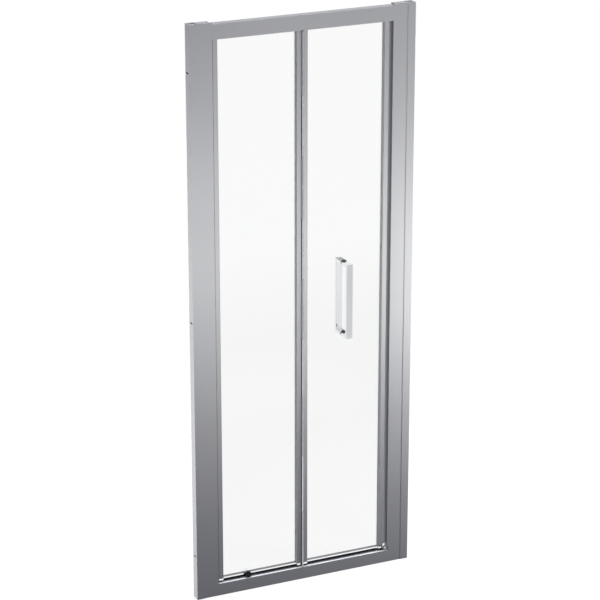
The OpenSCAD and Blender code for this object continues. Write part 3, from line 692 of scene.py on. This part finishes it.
# %% [markdown]
# ## The studio's floor and surround
# The studio is plain: a pale floor that runs to the horizon and a white surround. In a mirror the floor
# is a pool of white round the door that turns grey further out in front, and the surround turns grey
# overhead. Without something darker to mirror, chrome would look like white paint. A ray that passes
# through the glass counts as glossy too, so that is taken off, and the glass stays clear.

# %% Helpers that tell rays apart
def mirrored_only(tree, path):
    """1 for a ray that was mirrored, 0 for one that passed through glass or came from the camera."""
    glossy, through = path.outputs["Is Glossy Ray"], path.outputs["Is Transmission Ray"]
    return arithmetic(tree, "SUBTRACT", glossy, through, clamp=True)


def looked_at(tree, path):
    """1 for a ray that carries the picture: straight from the camera, mirrored or through glass."""
    direct = arithmetic(tree, "MAXIMUM", path.outputs["Is Camera Ray"], path.outputs["Is Glossy Ray"])
    return arithmetic(tree, "MAXIMUM", direct, path.outputs["Is Transmission Ray"])


# %% Lay the floor
FLOOR_SIZE = 60
FLOOR_BELOW = 0.5 * mm
FLOOR_SHADE = (0.07, 0.07, 0.07, 1)
FLOOR_GLOW = 0.95
POOL_EDGE, POOL_END = -0.5, -2.2
FRONT_FLOOR = 0.64


def pale_floor():
    """The floor keeps the door's shadow, and glows evenly for the rays that carry the picture."""
    bpy.ops.object.select_all(action="DESELECT")
    bpy.ops.mesh.primitive_plane_add(size=FLOOR_SIZE, location=(0, 0, -FLOOR_BELOW))
    floor = bpy.context.object
    floor.name = "floor"
    material, tree, shader = new_material("floor_white")
    plain(shader, Base_Color=FLOOR_SHADE, Roughness=0.9, Specular_IOR_Level=0.0)
    path = add(tree, "ShaderNodeLightPath")
    place = add(tree, "ShaderNodeTexCoord")
    axes = add(tree, "ShaderNodeSeparateXYZ")
    pool = fade(tree, axes.outputs["Y"], POOL_END, POOL_EDGE, FRONT_FLOOR - 1, 0)
    bright = arithmetic(tree, "MULTIPLY_ADD", mirrored_only(tree, path), pool, 1.0)
    glow = add(tree, "ShaderNodeEmission")
    both = add(tree, "ShaderNodeAddShader")
    mix = add(tree, "ShaderNodeMixShader")
    link = tree.links.new
    link(place.outputs["Object"], axes.inputs["Vector"])
    link(arithmetic(tree, "MULTIPLY", bright, FLOOR_GLOW), glow.inputs["Strength"])
    link(shader.outputs["BSDF"], both.inputs[0])
    link(glow.outputs["Emission"], both.inputs[1])
    link(looked_at(tree, path), mix.inputs["Fac"])
    link(shader.outputs["BSDF"], mix.inputs[1])
    link(both.outputs["Shader"], mix.inputs[2])
    link(mix.outputs["Shader"], tree.nodes["Material Output"].inputs["Surface"])
    floor.data.materials.append(material)
    print("floor", FLOOR_SIZE, "m square")


pale_floor()

# %% Hang the surround
AMBIENT = (0.004, 0.010, 0.070)
GREY_FROM, GREY_TO = 0.12, 0.32
OVERHEAD = 0.5


def white_surround():
    """White for the rays that carry the picture, a faint blue for those that only light the door."""
    world = bpy.data.worlds.new("surround")
    scene.world = world
    world.use_nodes = True
    tree = world.node_tree
    background = tree.nodes["Background"]
    path = add(tree, "ShaderNodeLightPath")
    sky = add(tree, "ShaderNodeTexCoord")
    axes = add(tree, "ShaderNodeSeparateXYZ")
    tree.links.new(sky.outputs["Generated"], axes.inputs["Vector"])
    overhead = fade(tree, axes.outputs["Z"], GREY_FROM, GREY_TO, 0, OVERHEAD - 1)
    strength = arithmetic(tree, "MULTIPLY_ADD", mirrored_only(tree, path), overhead, 1.0)
    tree.links.new(strength, background.inputs["Strength"])
    colour = ramp(tree, looked_at(tree, path), AMBIENT, (1, 1, 1), 0.0, 1.0)
    tree.links.new(colour, background.inputs["Color"])
    print("surround", world.name, "with overhead at", OVERHEAD)


white_surround()


# %% [markdown]
# ## Light
# One soft box stands less than a metre in front of the door at chest height, so its light falls off
# along the uprights: they are brightest above the middle and darkest at the sill. Weak boxes lift the
# right jamb, the head, both sides and the back. An even light from straight above reaches only what
# faces up: the head, the ledge and the caps. No lamp is seen itself, in a mirror or through the glass.

# %% Light the door
def hang(name, lamp_data, place):
    """Hangs a lamp that lights the door and isn't seen."""
    lamp = bpy.data.objects.new(name, lamp_data)
    scene.collection.objects.link(lamp)
    lamp.location = place
    lamp.visible_camera = False
    lamp.visible_glossy = False
    lamp.visible_transmission = False
    return lamp


def soft_box(name, place, aim, size, power, roll=0.0):
    """A rectangular lamp: place, aim and size in metres, power in watts and roll in degrees."""
    lamp_data = bpy.data.lights.new(name, "AREA")
    lamp_data.shape = "RECTANGLE"
    lamp_data.size, lamp_data.size_y = size
    lamp_data.energy = power
    lamp = hang(name, lamp_data, place)
    lamp.rotation_mode = "QUATERNION"
    facing = (Vector(aim) - Vector(place)).to_track_quat("-Z", "Y")
    lamp.rotation_quaternion = facing @ Quaternion((0, 0, 1), math.radians(roll))
    print(name, power, "W")


def light_from_above(name, strength, spread):
    """A sun straight overhead, its spread in degrees."""
    lamp_data = bpy.data.lights.new(name, "SUN")
    lamp_data.energy = strength
    lamp_data.angle = math.radians(spread)
    hang(name, lamp_data, (0, 0, 4))
    print(name, strength)


soft_box("front_box", (-0.309, -0.756, 1.162), (-0.309, 0, 1.162), (1.6, 0.1), 8.7, roll=-10.2)
soft_box("right_front", (1.038, -0.407, 0.968), (1.038, 0, 0.968), (0.1, 0.1), 20)
soft_box("top_front", (0.25, -1.3, 2.7), (0.05, 0, 1.7), (1.0, 0.4), 13)
soft_box("left_fill", (-2.0, 0.06, 0.75), (-0.38, 0, 0.75), (0.1, 0.9), 28)
soft_box("left_low", (-1.3, 0.5, 0.2), (0, 0, 0.3), (0.3, 0.4), 4)
soft_box("right_fill", (2.0, 0.4, 0.95), (0.38, 0, 0.95), (0.3, 1.2), 20)
soft_box("back_box", (0.2, 1.9, 1.3), (0, 0, 1.0), (1.2, 1.2), 24)
light_from_above("overhead", 2.5, 8)
